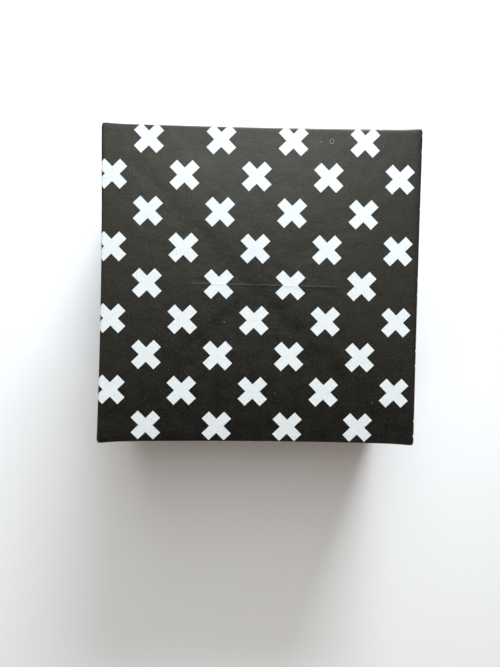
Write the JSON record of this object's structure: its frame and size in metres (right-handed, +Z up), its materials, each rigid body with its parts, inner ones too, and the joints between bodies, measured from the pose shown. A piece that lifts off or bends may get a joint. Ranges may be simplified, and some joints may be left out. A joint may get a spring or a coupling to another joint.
{
  "type": "masu box",
  "caption": "Square open box folded from one square sheet of dark paper with a regular pattern of white crosses, lying mouth down with its closed face up.",
  "frame": {"origin": "middle of the open mouth, on the surface the box rests on", "axes": "+Z up through the closed face; +X towards a folded end wall, +Y towards a plain long wall"},
  "size_m": [0.1078, 0.1082, 0.0539],
  "materials": {
    "printed_paper": "satin black print with white crosses"
  },
  "bodies": {
    "root": {"masu_box": "printed_paper"}
  },
  "joints": []
}
